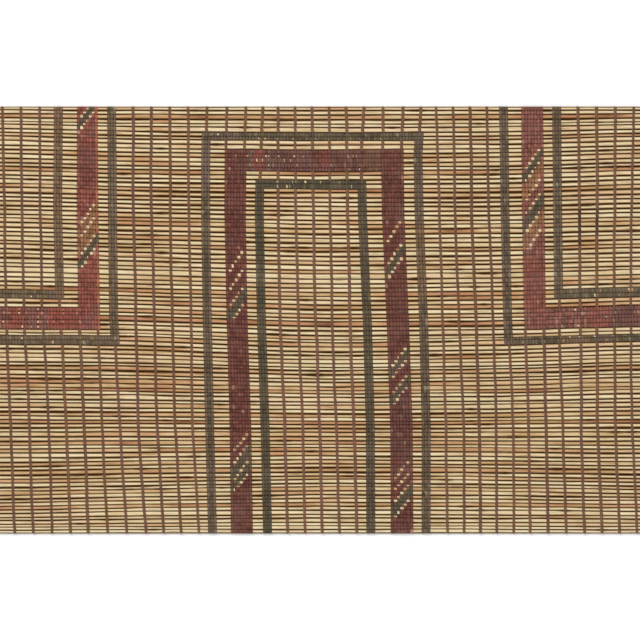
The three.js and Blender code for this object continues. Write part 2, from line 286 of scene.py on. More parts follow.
def tubePiece(name, tubes, across, topShare, attributes):
    # One mesh of many closed tubes. Each tube is an array of rings; attributes hold a value for each point.
    sides = tubes[0].shape[1]
    points = np.concatenate([tube.reshape(-1, 3) for tube in tubes])
    capLength = across * mapSizes["cap"]
    lengths = [np.linalg.norm(np.diff(tube.mean(axis=1), axis=0), axis=1).sum() for tube in tubes]
    corners, square = packStrips(lengths, across * mapSizes["gap"], capLength)
    share = np.concatenate([[0], np.cumsum(topShare)]) / sum(topShare)
    angle = np.arange(sides) / sides * 2 * math.pi
    capShape = np.stack([np.cos(angle), np.sin(angle)], axis=-1) * mapSizes["capRadius"] * capLength
    quads, caps, quadMap, capMap, first = [], [], [], [], 0
    for tube, length, (left, low) in zip(tubes, lengths, corners):
        rings = tube.shape[0]
        tubeQuads, tubeCaps = tubeFaces(rings, sides, first)
        quads.append(tubeQuads)
        caps.append(tubeCaps)
        along = low + capLength + np.arange(rings) / (rings - 1) * length
        u0 = np.broadcast_to(left + share[None, :-1] * across, (rings - 1, sides))
        u1 = np.broadcast_to(left + share[None, 1:] * across, (rings - 1, sides))
        v0 = np.broadcast_to(along[:-1, None], (rings - 1, sides))
        v1 = np.broadcast_to(along[1:, None], (rings - 1, sides))
        quadMap.append(np.stack([u0, v0, u1, v0, u1, v1, u0, v1], axis=-1).reshape(-1, 4, 2))
        for level in (low + capLength / 2, low + 1.5 * capLength + length):
            capMap.append(capShape + [left + across / 2, level])
        first += rings * sides
    quads, caps = np.concatenate(quads), np.concatenate(caps)
    corner = np.concatenate([quads.ravel(), caps.ravel()]).astype(np.int32)
    starts = np.concatenate([np.arange(len(quads)) * 4, len(quads) * 4 + np.arange(len(caps)) * sides])
    mesh = bpy.data.meshes.new(name)
    mesh.vertices.add(len(points))
    mesh.vertices.foreach_set("co", (points * mm).astype(np.float32).ravel())
    mesh.loops.add(len(corner))
    mesh.loops.foreach_set("vertex_index", corner)
    mesh.polygons.add(len(starts))
    mesh.polygons.foreach_set("loop_start", starts.astype(np.int32))
    mesh.polygons.foreach_set("use_smooth", np.arange(len(starts)) < len(quads))
    mesh.update(calc_edges=True)
    bakeMap = mesh.uv_layers.new(name="OFBake")
    spots = np.concatenate([np.concatenate(quadMap).reshape(-1, 2), np.concatenate(capMap).reshape(-1, 2)])
    bakeMap.data.foreach_set("uv", (spots / square).astype(np.float32).ravel())
    for key, values in attributes.items():
        kind = "FLOAT" if values.ndim == 1 else "FLOAT_COLOR"
        layer = mesh.attributes.new(key, kind, "POINT")
        layer.data.foreach_set("value" if kind == "FLOAT" else "color", values.astype(np.float32).ravel())
    piece = bpy.data.objects.new(name, mesh)
    bpy.context.scene.collection.objects.link(piece)
    return piece


# Shader building
class Wire:
    # A shader socket that sums and products can be written on.
    def __init__(self, finish, socket):
        self.finish = finish
        self.socket = socket

    def combine(self, operation, first, second):
        return self.finish.node("ShaderNodeMath", {"operation": operation}, {0: first, 1: second})

    def __add__(self, other):
        return self.combine("ADD", self, other)

    def __radd__(self, other):
        return self.combine("ADD", other, self)

    def __sub__(self, other):
        return self.combine("SUBTRACT", self, other)

    def __rsub__(self, other):
        return self.combine("SUBTRACT", other, self)

    def __mul__(self, other):
        return self.combine("MULTIPLY", self, other)

    def __rmul__(self, other):
        return self.combine("MULTIPLY", other, self)


class Finish:
    # A material and the nodes that make it.
    def __init__(self, name):
        self.material = bpy.data.materials.new(name)
        self.material.use_nodes = True
        self.tree = self.material.node_tree
        self.shader = self.tree.nodes["Principled BSDF"]

    def feed(self, socket, value):
        if isinstance(value, Wire):
            self.tree.links.new(value.socket, socket)
        elif isinstance(value, tuple) and len(value) == 3 and socket.type == "RGBA":
            socket.default_value = (*value, 1)
        else:
            socket.default_value = value

    def node(self, kind, settings=None, values=None, output=0):
        made = self.tree.nodes.new(kind)
        for key, value in (settings or {}).items():
            if key == "stops":
                ramp = made.color_ramp.elements
                while len(ramp) < len(value):
                    ramp.new(0.5)
                for stop, (place, colour) in zip(ramp, value):
                    stop.position = place
                    stop.color = (*colour, 1)
            else:
                setattr(made, key, value)
        for key, value in (values or {}).items():
            self.feed(made.inputs[key], value)
        return Wire(self, made.outputs[output])

    def fact(self, name):
        # A value that the mesh carries at each point
        return self.node("ShaderNodeAttribute", {"attribute_name": name}, output="Fac")

    def surface(self, **values):
        for key, value in values.items():
            self.feed(self.shader.inputs[key.replace("_", " ")], value)

    def mix(self, share, first, second, blend="MIX"):
        settings = {"data_type": "RGBA", "blend_type": blend}
        return self.node("ShaderNodeMix", settings, {0: share, 6: first, 7: second}, 2)

    def place(self, scale, shift=None):
        # The point in millimetres, scaled, and shifted by a value so that no two pieces look alike.
        spot = self.node("ShaderNodeTexCoord", output="Object")
        values = {0: spot, 1: tuple(1000 * share for share in scale)}
        spot = self.node("ShaderNodeVectorMath", {"operation": "MULTIPLY"}, values)
        if shift is None:
            return spot
        return self.node("ShaderNodeVectorMath", {"operation": "ADD"}, {0: spot, 1: shift})

    def noise(self, place, detail=3.0, rough=0.5):
        values = {"Vector": place, "Scale": 1.0, "Detail": detail, "Roughness": rough}
        return self.node("ShaderNodeTexNoise", None, values)

    def bump(self, height, strength, depth):
        values = {"Strength": strength, "Distance": depth, "Height": height}
        return self.node("ShaderNodeBump", None, values)

    def between(self, value, low, high):
        # 0 below low, 1 above high, smooth in between
        values = {"Value": value, "From Min": low, "From Max": high}
        return self.node("ShaderNodeMapRange", {"interpolation_type": "SMOOTHSTEP"}, values)


def paint(red, green, blue):
    # A colour as it looks on screen, turned to light values.
    shares = [value / 255 for value in (red, green, blue)]
    return tuple(share / 12.92 if share < 0.04 else ((share + 0.055) / 1.055) ** 2.4 for share in shares)


# Where the undyed lines run: each strays a little from its even place.
lineStep = 0.13  # millimetres from one reed to the next
swayDraw = np.random.default_rng(23)
lineSway = []
for line in range(matSizes["lines"] + 1):
    walk = swayDraw.uniform(-lineStep, lineStep, reedTotal + 1).cumsum()
    lineSway.append(walk - np.linspace(walk[0], walk[-1], reedTotal + 1))


def groundX(line, row):
    return lineX(line, evenGroove(row)) + np.interp(row, np.arange(reedTotal + 1), lineSway[line])


# Reeds
reedLook = {
    "cream": paint(230, 212, 171),
    "straw": paint(215, 188, 143),
    "tan": paint(195, 151, 106),
    "orange": paint(178, 126, 90),
    "brown": paint(116, 76, 48),
    "blush": paint(216, 160, 128),
    "olive": paint(176, 158, 98),
    # The dark of split fibres, also laid as the painted shadow beside a thong.
    "slitAndThongShadow": paint(104, 64, 32),
    # Painted groove shade, dark and paler, laid where the reeds meet and down their flanks.
    "grooveShade": paint(82, 50, 16),
    "paleGrooveShade": paint(118, 86, 44),
    # Painted shade on the near side of a reed, turned from the key lamp.
    "nearSideShade": paint(158, 108, 56),
    "cellSpread": 0.24,  # how far a reed's tone changes from one line of twining to the next
    "cloudSpread": 0.7,
    "patchSpread": 0.4,
    "fibreSpread": 0.45,
    "blushShare": 0.3,
    "oliveShare": 0.4,
    "splitShare": 0.7,
    "nearSideShadeShare": 0.65,
    "thongShadowShare": 0.45,  # painted shadow beside a thong
    "paleGrooveShadeShare": 0.7,
    "bump": 0.4,
    "bumpDepth": 0.00012,
    "roughness": 0.55,
    "roughSpread": 0.2,
    "sheen": 0.1,
}


def reedFinish():
    look = reedLook
    finish = Finish("split_reed")
    seed = finish.fact("reedSeed")  # no two reeds have the same grain
    grainShift = seed * 913.0
    cloud = finish.noise(finish.place((0.03, 0.25, 0.25), grainShift), 3.0)
    patch = finish.noise(finish.place((0.09, 0.5, 0.5), seed * 277.0), 3.0, 0.6)
    fibre = finish.noise(finish.place((0.05, 2.2, 2.2), grainShift), 4.0, 0.65)
    fine = finish.noise(finish.place((0.15, 5.0, 5.0), grainShift), 3.0, 0.6)
    place = finish.fact("reedPlace")
    cell = finish.node("ShaderNodeMath", {"operation": "FLOOR"}, {0: place})
    noise = {"noise_dimensions": "1D"}
    cell = finish.node("ShaderNodeTexWhiteNoise", noise, {"W": cell * 7.13 + seed * 91.7})
    shade = finish.fact("reedTone") + (cell - 0.5) * look["cellSpread"] + (cloud - 0.5) * look["cloudSpread"]
    shade = shade + (patch - 0.5) * look["patchSpread"] + (fibre - 0.5) * look["fibreSpread"]
    stops = [(0.0, look["cream"]), (0.3, look["straw"]), (0.55, look["tan"]),
             (0.78, look["orange"]), (1.0, look["brown"])]
    colour = finish.node("ShaderNodeValToRGB", {"stops": stops}, {"Fac": shade})
    blush = finish.between(finish.noise(finish.place((0.02, 0.3, 0.3), seed * 431.0), 2.0), 0.48, 0.66)
    colour = finish.mix(blush * look["blushShare"], colour, look["blush"])
    olive = finish.between(finish.noise(finish.place((0.03, 0.4, 0.4), seed * 619.0), 2.0), 0.52, 0.68)
    colour = finish.mix(olive * look["oliveShare"], colour, look["olive"])
    colour = finish.mix(finish.between(fibre, 0.55, 0.66) * look["splitShare"], colour, look["slitAndThongShadow"])
    # Painted shade: the near side of a reed, turned from the key lamp, is darker.
    nearSideShadeMask = finish.between(finish.fact("reedAcross") + (cloud - 0.5) * 1.6, 0.35, 0.75)
    colour = finish.mix(nearSideShadeMask * look["nearSideShadeShare"], colour, look["nearSideShade"])
    # Painted shadow: the reed darkens close to each line of twining, where the thong shades it.
    thongShadow = finish.node("ShaderNodeMath", {"operation": "FRACT"}, {0: place})
    thongShadow = finish.node("ShaderNodeMath", {"operation": "ABSOLUTE"}, {0: thongShadow - 0.5})
    colour = finish.mix(finish.between(thongShadow, 0.38, 0.46) * look["thongShadowShare"], colour, look["slitAndThongShadow"])
    # Painted shade in the grooves: where the reeds meet and down their flanks the colour turns dark brown, paler
    # in patches.
    paleGrooveShade = finish.between(patch, 0.5, 0.7) * look["paleGrooveShadeShare"]
    grooveShade = finish.mix(paleGrooveShade, look["grooveShade"], look["paleGrooveShade"])
    colour = finish.mix(finish.fact("reedSide"), colour, grooveShade)
    bump = finish.bump(fibre * 0.6 + fine * 0.4, look["bump"], look["bumpDepth"])
    roughness = look["roughness"] + fine * look["roughSpread"]
    finish.surface(Base_Color=colour, Roughness=roughness, Normal=bump, Specular_IOR_Level=look["sheen"])
    return finish.material


def reedSamples(index, draw):
    # Along a reed: its two cut ends, each line of twining and the middle between two lines.
    row = index + 0.5
    lines = np.array([float(groundX(line, row)) for line in range(1, matSizes["lines"] + 1)])
    numbers = np.arange(1, matSizes["lines"] + 1)
    x = np.sort(np.concatenate([lines, (lines[1:] + lines[:-1]) / 2]))
    place = np.sort(np.concatenate([numbers, numbers[:-1] + 0.5]))
    left, right = half + reedSizes["endReach"] + draw.uniform(0, reedSizes["endSpread"], 2)
    rim = reedSizes["cutRim"]
    x = np.concatenate([[-left, rim - left], x, [right - rim, right]])
    linePitch = 12  # beyond the outermost lines, places go on at the lines' mean distance
    before, after = place[0] - (x[2] + left) / linePitch, place[-1] + (right - x[-3]) / linePitch
    return x, np.concatenate([[before, before], place, [after, after]])


# Stretches of reed that age has browned, in the order of the reeds.
stainRows = [
    {"firstReed": 15, "reeds": 1, "from": -38.0, "to": 42.0, "amount": 0.25},
    {"firstReed": 24, "reeds": 7, "from": -146.0, "to": -72.0, "amount": 0.16},
    {"firstReed": 28, "reeds": 1, "from": 60.0, "to": 112.0, "amount": 0.45},
    {"firstReed": 33, "reeds": 1, "from": -150.0, "to": -70.0, "amount": 0.25},
    {"firstReed": 36, "reeds": 1, "from": 30.0, "to": 102.0, "amount": 0.45},
    {"firstReed": 37, "reeds": 1, "from": -38.0, "to": 34.0, "amount": 0.35},
    {"firstReed": 47, "reeds": 1, "from": -145.0, "to": -72.0, "amount": 0.3},
    {"firstReed": 57, "reeds": 12, "from": -232.0, "to": -76.0, "amount": 0.1},
    {"firstReed": 75, "reeds": 8, "from": -40.0, "to": 34.0, "amount": 0.12},
]


def stainAt(index, x):
    fadeLength = 12
    amount = 0 * x
    for row in stainRows:
        if 0 <= index - row["firstReed"] < row["reeds"]:
            inside = np.minimum(x - row["from"], row["to"] - x) / fadeLength
            amount = amount + row["amount"] * np.clip(inside, 0, 1)
    return amount


# How many of the reeds have which tone, from cream to brown
toneRows = [
    {"tone": 0.02, "share": 0.37},
    {"tone": 0.18, "share": 0.35},
    {"tone": 0.34, "share": 0.16},
    {"tone": 0.5, "share": 0.09},
    {"tone": 0.66, "share": 0.03},
]


def makeReeds():
    draw = np.random.default_rng(5)
    tones, toneShares = [row["tone"] for row in toneRows], [row["share"] for row in toneRows]
    turn = [(row["across"], row["up"]) for row in reedSection]
    turn = [(-across, up) for across, up in turn] + turn[::-1]
    sides = len(turn)
    across = np.array([spot[0] for spot in turn])[None, :]
    upright = np.array([spot[1] for spot in turn])[None, :]
    facts = {"reedSeed": [], "reedTone": [], "reedSide": [], "reedAcross": [], "reedPlace": []}
    tubes = []
    for index in range(reedTotal):
        x, place = reedSamples(index, draw)
        middle, halfWidth, halfHeight = reedForm(index, x)
        tube = np.empty((len(x), sides, 3))
        tube[:, :, 0] = x[:, None]
        tube[:, :, 1] = middle[:, None] + halfWidth[:, None] * across
        tube[:, :, 2] = reedSizes["underThong"] + halfHeight[:, None] * (1 + upright)
        tube[:, :, 1] = np.clip(tube[:, :, 1], -matSizes["depth"] / 2, matSizes["depth"] / 2)
        tubes.append(tube)
        tone = draw.choice(tones, p=toneShares)
        tone = tone + draw.uniform(-0.06, 0.06) + 0.14 * wave(index, x, 2) + stainAt(index, x)
        shape = tube.shape[:2]
        # Painted shade lies beside the two grooves and down the flanks, where the shade falls; belly and cut
        # ends stay pale.
        dark = np.where(across > 0, darkAt(index, x)[:, None], darkAt(index + 1, x)[:, None])
        dark = np.clip((np.abs(across) - 1 + dark) / 0.2 + 0.5, 0, 1)
        dark = np.where(upright < 0, np.where(upright < -0.5, 0, 1), dark)
        dark[[0, -1]] = 0.25
        facts["reedTone"].append(np.repeat(tone, sides))
        facts["reedSeed"].append(np.full(shape[0] * shape[1], draw.uniform()))
        facts["reedSide"].append(dark.ravel())
        # reedAcross grows towards a reed's near side and places its painted near-side shade.
        facts["reedAcross"].append(np.broadcast_to(-across + draw.uniform(-0.6, 0.3), shape).ravel())
        facts["reedPlace"].append(np.repeat(place, sides))
    topShare = np.where(np.roll(upright[0], -1) + upright[0] > 0.2, 3.0, 1.0)
    facts = {key: np.concatenate(parts) for key, parts in facts.items()}
    piece = tubePiece("split_reeds", tubes, reedSizes["mapWidth"], topShare, facts)
    piece.data.materials.append(reedFinish())
    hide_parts("reed_ground")
    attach(piece, "root")
    print("reeds made:", len(tubes))
    return piece


# Thongs
thongSizes = {
    "thick": 0.5,
    "ground": {"crown": 1.85, "groove": 1.25, "swing": 0.66, "lift": 0.75},  # widths over a reed and between two
    "packed": {"crown": 1.06, "groove": 0.32, "swing": 0.18},  # shares of the column's width
    "packedLift": 0.55,
    "barPitch": 2.15,
    "greenColumns": 3,
    "redColumns": 7,
    "runOn": 0.9,  # a thong that stays on its side of the reeds stands this high at a groove
    "bulge": 0.42,  # how far the stitches beside an open one spread over its reed
    "mapWidth": 4.4,
}

# A thong's section, as shares of its half width and thickness, and each side's share of the bake map.
thongSection = [
    {"across": -1.0, "up": -0.5, "map": 1.0},
    {"across": 1.0, "up": -0.5, "map": 0.6},
    {"across": 0.94, "up": 0.22, "map": 1.2},
    {"across": 0.0, "up": 0.58, "map": 1.2},
    {"across": -0.94, "up": 0.22, "map": 0.6},
]

# A thong's way over or under one reed, as shares of the way, of the reed's half width and of its half height.
turnRows = [
    {"part": 0.25, "fall": 0.66, "climb": 0.8},
    {"part": 0.5, "fall": 0.0, "climb": 1.0},
    {"part": 0.75, "fall": -0.66, "climb": 0.8},
]

dyes = {
    "brown": paint(120, 83, 54),
    "leftRed": paint(150, 84, 71),
    "centreRed": paint(116, 67, 56),
    "rightRed": paint(146, 91, 78),
    "leftGreen": paint(110, 93, 66),
    "centreGreen": paint(94, 83, 58),
    "rightGreen": paint(97, 87, 63),
    "plum": paint(116, 80, 68),
    "mauve": paint(126, 102, 92),
    "deepGreen": paint(76, 72, 54),
    "slantGreen": paint(98, 88, 68),
    "slantTan": paint(160, 114, 78),
    "edgeTan": paint(120, 92, 66),
    "brick": paint(156, 80, 66),
    "dusk": paint(104, 72, 66),
    "pale": paint(196, 150, 134),
    "paleGreen": paint(168, 158, 132),
    "rust": paint(190, 118, 84),
}

# Slanting openings in the red legs: a stitch is left open where its column and its reed, both
# counted from the section's far left corner, add up to one of the open numbers.
slantRows = [
    {"ring": "left_red", "leg": 0, "firstReed": 0, "reeds": 6, "open": [3, 6], "between": ["slantGreen"]},
    {"ring": "left_red", "leg": 0, "firstReed": 23, "reeds": 15, "open": [5, 8, 12, 15],
     "between": ["slantTan", "slantTan", "slantGreen"]},
    {"ring": "centre_red", "leg": 0, "firstReed": 33, "reeds": 16, "open": [5, 9, 13, 17],
     "between": ["centreRed", "centreRed", "slantGreen"]},
    {"ring": "centre_red", "leg": 0, "firstReed": 77, "reeds": 15, "open": [5, 8, 12, 15],
     "between": ["centreRed", "slantGreen", "slantGreen"]},
    {"ring": "centre_red", "leg": 1, "firstReed": 26, "reeds": 13, "open": [5, 10, 13],
     "between": ["centreRed", "slantGreen"]},
    {"ring": "centre_red", "leg": 1, "firstReed": 55, "reeds": 15, "open": [5, 8, 12, 15],
     "between": ["slantGreen", "centreRed", "slantGreen"]},
    {"ring": "centre_red", "leg": 1, "firstReed": 84, "reeds": 15, "open": [5, 8, 11, 15],
     "between": ["centreRed", "centreRed", "slantGreen"]},
    {"ring": "right_red", "leg": 0, "firstReed": 10, "reeds": 23, "open": [5, 8, 12, 15, 19, 23],
     "between": ["slantGreen", "slantTan", "rightRed", "slantGreen", "slantTan"]},
]

# Single stitches left open in the bars, by their places along the reeds.
openStitches = [
    {"ring": "left_inner_green", "reed": 44, "x": [-198.5]},
    {"ring": "left_red", "reed": 47, "x": [-194.0]},
    {"ring": "left_red", "reed": 48, "x": [-205.5]},
    {"ring": "left_red", "reed": 49, "x": [-193.6]},
    {"ring": "left_red", "reed": 50, "x": [-218.0, -193.5]},
    {"ring": "left_red", "reed": 51, "x": [-205.0, -193.5]},
    {"ring": "left_outer_green", "reed": 54, "x": [-205.0]},
    {"ring": "left_outer_green", "reed": 55, "x": [-182.5]},
    {"ring": "centre_outer_green", "reed": 6, "x": [-70.0]},
    {"ring": "centre_outer_green", "reed": 7, "x": [-40.6, -37.8, -28.9, -17.9]},
    {"ring": "centre_red", "reed": 11, "x": [-55.0, -48.8, -37.1, -27.5, -16.5]},
    {"ring": "centre_red", "reed": 12, "x": [-43.3]},
    {"ring": "centre_inner_green", "reed": 17, "x": [-29.0, -10.0]},
    {"ring": "centre_inner_green", "reed": 18, "x": [-29.6, -22.0]},
    {"ring": "right_red", "reed": 46, "x": [175.4]},
    {"ring": "right_red", "reed": 50, "x": [177.5]},
    {"ring": "right_inner_green", "reed": 42, "x": [213.4, 215.5]},
    {"ring": "right_inner_green", "reed": 43, "x": [188.8]},
    {"ring": "right_outer_green", "reed": 53, "x": [173.0, 178.0, 190.0, 202.0]},
]


def makeStrand(columnX, firstReed, lastReed, parity, widths, over, dye):
    # One flat thong of a twined pair, under one reed and over the next. parity 0 goes over the even reeds.
    # over says for each reed how the pair shows there: 1 in full, 0 not at all, between them drawn aside.
    # dye holds a colour for each reed.
    thick = thongSizes["thick"]
    count = lastReed - firstReed
    reedRows = np.arange(firstReed, lastReed)
    x = np.array([float(columnX(row + 0.5)) for row in reedRows])
    x = x + np.where(over > 0, 1 - over, 0) * widths["crown"] * 0.5
    crown = np.where(over > 0, over, 1) * widths["crown"]
    side = np.where(((reedRows + parity) % 2 == 0) & (over > 0), 1, -1)
    spots, sizes, colours, knots = [], [], [], []
    for step in range(count + 1):
        reed = firstReed + step
        inner, before = min(step, count - 1), max(step - 1, 0)
        hereX = (x[inner] + x[before]) / 2
        swing = widths["swing"] * (-1 if (reed + parity) % 2 == 0 else 1)
        halfHeight = reedForm(min(reed, reedTotal - 1), hereX)[2]
        level = reedSizes["underThong"] + halfHeight
        turns = side[inner] != side[before]
        z = level + halfHeight * (widths["lift"] if turns else side[inner] * thongSizes["runOn"])
        bulge = int(over[before] == 0 and side[inner] > 0) - int(over[inner] == 0 and side[before] > 0)
        if bulge:
            z = level + halfHeight
        y = float(grooveY(reed, hereX)) + bulge * thongSizes["bulge"]
        spots.append((hereX + swing, y, float(z)))
        sizes.append(widths["crown"] if bulge else widths["groove"])
        colours.append((dye[inner] + dye[before]) / 2)
        # knot is 1 where the pair crosses between two reeds; on the brown lines the finish paints a highlight
        # there.
        knots.append(1.0)
        if step == count:
            break
        middle, halfWidth, halfHeight = (float(value) for value in reedForm(reed, x[step]))
        level = reedSizes["underThong"] + halfHeight
        rise = side[step] * (halfHeight + thick / 2)
        reach = halfWidth + thick / 2
        for row in turnRows:
            onTop = row["part"] == 0.5
            spotX = x[step] + swing * (1 - 2 * row["part"])
            spots.append((spotX, middle + reach * row["fall"], level + rise * row["climb"]))
            sizes.append(crown[step] if onTop else crown[step] * 0.75 + widths["groove"] * 0.25)
            colours.append(dye[step])
            knots.append(0.0 if onTop else 0.3)
    spots = np.array(spots)
    along = np.gradient(spots, axis=0)
    along /= np.linalg.norm(along, axis=1)[:, None]
    wide = np.array([1.0, 0, 0]) - along[:, :1] * along
    wide /= np.linalg.norm(wide, axis=1)[:, None]
    out = np.cross(along, wide)
    reach = np.array(sizes)[:, None, None] / 2
    section = np.array([(row["across"], row["up"]) for row in thongSection])
    tube = spots[:, None] + wide[:, None] * section[None, :, :1] * reach
    tube = tube + out[:, None] * section[None, :, 1:] * thick
    tube[:, :, 2] = np.maximum(tube[:, :, 2], 0)
    tube[:, :, 1] = np.clip(tube[:, :, 1], -matSizes["depth"] / 2, matSizes["depth"] / 2)
    colours = np.repeat(np.array(colours), len(section), axis=0)
    return tube, np.concatenate([colours, np.ones((len(colours), 1))], axis=1), np.repeat(knots, len(section))


def leatherFinish(name, look):
    finish = Finish(name)
    dye = finish.node("ShaderNodeAttribute", {"attribute_name": "dye"}, output="Color")
    patch = finish.noise(finish.place((0.06, 0.06, 0.06)), 3.0)
    mottle = finish.noise(finish.place((0.5, 0.35, 0.5)), 3.0, 0.6)
    grain = finish.noise(finish.place((5.0, 3.5, 5.0)), 3.0, 0.6)
    colour = finish.mix(finish.between(mottle, 0.35, 0.65) * look["mottle"], dye, look["dark"], "MULTIPLY")
    worn = finish.between(patch * 0.5 + mottle * 0.5, 0.5, 0.62) * look["worn"]
    colour = finish.mix(worn, colour, look["wornColour"])
    # Painted highlight: the crossings between reeds take the knot colour, which on the brown lines is paler and
    # stands in for the light they catch.
    colour = finish.mix(finish.fact("knot") * look["knot"], colour, look["knotColour"])
    bump = finish.bump(grain * 0.6 + mottle * 0.4, 0.4, 0.00015)
    finish.surface(Base_Color=colour, Roughness=0.62 + grain * 0.25, Normal=bump, Specular_IOR_Level=0.3)
    return finish.material


# The knot colour is painted on the crossings between reeds; on the brown lines it is a painted highlight.
leatherLooks = {
    "brown": {"mottle": 0.4, "dark": paint(170, 160, 155), "worn": 0.3, "wornColour": paint(138, 106, 80),
              "knot": 0.5, "knotColour": paint(139, 104, 86)},
    "green": {"mottle": 0.6, "dark": paint(150, 155, 148), "worn": 0.5, "wornColour": paint(122, 104, 86),
              "knot": 0.1, "knotColour": paint(100, 86, 74)},
    "red": {"mottle": 0.6, "dark": paint(165, 145, 142), "worn": 0.45, "wornColour": paint(132, 98, 90),
            "knot": 0.08, "knotColour": paint(110, 80, 72)},
}


class Strands:
    # The thongs of one piece, gathered before they become a mesh.
    def __init__(self, name, look, slot, nodes):
        self.name, self.look, self.slot, self.nodes = name, look, slot, nodes
        self.tubes, self.dyes, self.knots = [], [], []

    def addPair(self, columnX, firstReed, lastReed, widths, over, dye):
        for parity in (0, 1):
            tube, colours, knots = makeStrand(columnX, firstReed, lastReed, parity, widths, over, dye)
            self.tubes.append(tube)
            self.dyes.append(colours)
            self.knots.append(knots)

    def makePiece(self):
        facts = {"dye": np.concatenate(self.dyes), "knot": np.concatenate(self.knots)}
        mapShares = np.array([row["map"] for row in thongSection])
        piece = tubePiece(self.name, self.tubes, thongSizes["mapWidth"], mapShares, facts)
        piece.data.materials.append(leatherFinish(self.name, leatherLooks[self.look]))
        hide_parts(*self.nodes)
        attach(piece, "root")
        print(self.name, "thongs:", len(self.tubes), "faces:", len(piece.data.polygons))
        return piece


def hiddenReeds(line):
    # Stretches of reeds where a leg or a bar takes the place of this line
    found = []
    for ring in ringRows:
        start, end = barEnds(ring)
        x = lineX(line, evenGroove(ring["firstReed"] + ring["reeds"] / 2))
        if any(line in leg for leg in ring["legs"]):
            found.append(legReeds(ring))
        elif start <= x <= end:
            found.append((ring["firstReed"], ring["firstReed"] + ring["reeds"]))
    return sorted(found)


def shownRuns(line):
    runs, start = [], 0
    for first, last in hiddenReeds(line) + [(reedTotal, reedTotal)]:
        if first > start:
            runs.append((start, first))
        start = max(start, last)
    return runs


motifLines = {"left": 11, "centre": 26, "right": 36}  # the last line of each group of rings


def motifOf(line):
    return next(motif for motif, last in motifLines.items() if line <= last)


# Stretches of the undyed lines that are stained dark, counted in reeds
darkRuns = [
    {"line": 33, "from": 24, "to": 32, "shade": 0.25},
    {"line": 34, "from": 24, "to": 30, "shade": 0.25},
]


def makeGroundThongs():
    pieces = {}
    draw = np.random.default_rng(24)
    for motif in motifLines:
        nodes = [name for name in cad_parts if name.startswith("ground_thong")]
        nodes = [name for name in nodes if motifOf(int(name.split("_")[2])) == motif]
        pieces[motif] = Strands(motif + "_ground_thongs", "brown", "brown_leather", nodes)
    for line in range(1, matSizes["lines"] + 1):
        lineTint = draw.uniform(0.85, 1.15)
        girth = draw.uniform(0.9, 1.2)
        plum = draw.uniform(0, 0.8)
        widths = dict(thongSizes["ground"])
        widths.update({key: widths[key] * girth for key in ("crown", "groove")})
        for first, last in shownRuns(line):
            tint = lineTint * draw.uniform(0.85, 1.15, (last - first, 1))
            dye = np.array(dyes["brown"]) * (1 - plum) + np.array(dyes["plum"]) * plum
            dye = dye[None, :] * tint
            for row in darkRuns:
                if row["line"] == line:
                    reeds = np.arange(first, last)
                    stained = (reeds >= row["from"]) & (reeds < row["to"])
                    dye = dye * np.where(stained, row["shade"], 1)[:, None]
            strands, over = pieces[motifOf(line)], np.ones(last - first)
            strands.addPair(lambda row: groundX(line, row), first, last, widths, over, dye)
    return [strands.makePiece() for strands in pieces.values()]


def columnWidths(pitch):
    packed = thongSizes["packed"]
    return {**{key: packed[key] * pitch for key in packed}, "lift": thongSizes["packedLift"]}


# Where the dye has faded or bled: legs are counted in reeds, bars are measured along the reeds.
fadeRows = [
    {"ring": "centre_outer_green", "part": "leg 0", "from": 6, "to": 20, "dye": "mauve", "share": 0.8},
    {"ring": "centre_outer_green", "part": "bar", "from": -82.0, "to": -54.0, "dye": "mauve", "share": 0.6},
    {"ring": "centre_outer_green", "part": "leg 1", "from": 24, "to": 44, "dye": "slantTan", "share": 0.3},
    {"ring": "centre_inner_green", "part": "leg 0", "from": 14, "to": 106, "dye": "deepGreen", "share": 0.6},
    {"ring": "centre_inner_green", "part": "leg 1", "from": 14, "to": 106, "dye": "deepGreen", "share": 0.5},
    {"ring": "centre_inner_green", "part": "bar", "from": -50.0, "to": 40.0, "dye": "deepGreen", "share": 0.7},
    {"ring": "left_red", "part": "leg 0", "from": 8, "to": 20, "dye": "dusk", "share": 0.35},
    {"ring": "centre_red", "part": "leg 1", "from": 62, "to": 84, "dye": "dusk", "share": 0.4},
    {"ring": "left_inner_green", "part": "leg 0", "from": -4, "to": 48, "dye": "slantTan", "share": 0.25},
    {"ring": "centre_red", "part": "bar", "from": -47.0, "to": -37.0, "dye": "brick", "share": 0.6},
    {"ring": "centre_red", "part": "bar", "from": -35.0, "to": -4.0, "dye": "dusk", "share": 0.4},
    {"ring": "centre_red", "part": "bar", "from": -1.0, "to": 8.0, "dye": "brick", "share": 0.4},
    {"ring": "centre_red", "part": "bar", "from": 29.0, "to": 43.0, "dye": "edgeTan", "share": 0.6},
    {"ring": "left_inner_green", "part": "bar", "from": -189.0, "to": -176.0, "dye": "mauve", "share": 0.6},
    {"ring": "left_red", "part": "bar", "from": -214.0, "to": -204.0, "dye": "brick", "share": 0.7},
    {"ring": "left_red", "part": "bar", "from": -203.0, "to": -197.0, "dye": "mauve", "share": 0.4},
    {"ring": "left_red", "part": "bar", "from": -189.0, "to": -166.0, "dye": "brick", "share": 0.6},
    {"ring": "left_outer_green", "part": "bar", "from": -189.0, "to": -180.0, "dye": "edgeTan", "share": 0.7},
    {"ring": "right_red", "part": "bar", "from": 184.0, "to": 201.0, "dye": "brick", "share": 0.5},
    {"ring": "right_red", "part": "bar", "from": 202.0, "to": 220.0, "dye": "dusk", "share": 0.6},
    {"ring": "right_outer_green", "part": "bar", "from": 162.0, "to": 189.0, "dye": "slantTan", "share": 0.35},
    {"ring": "right_outer_green", "part": "bar", "from": 190.0, "to": 203.0, "dye": "mauve", "share": 0.6},
    {"ring": "right_red", "part": "leg 0", "from": 34, "to": 48, "dye": "brick", "share": 0.3},
]


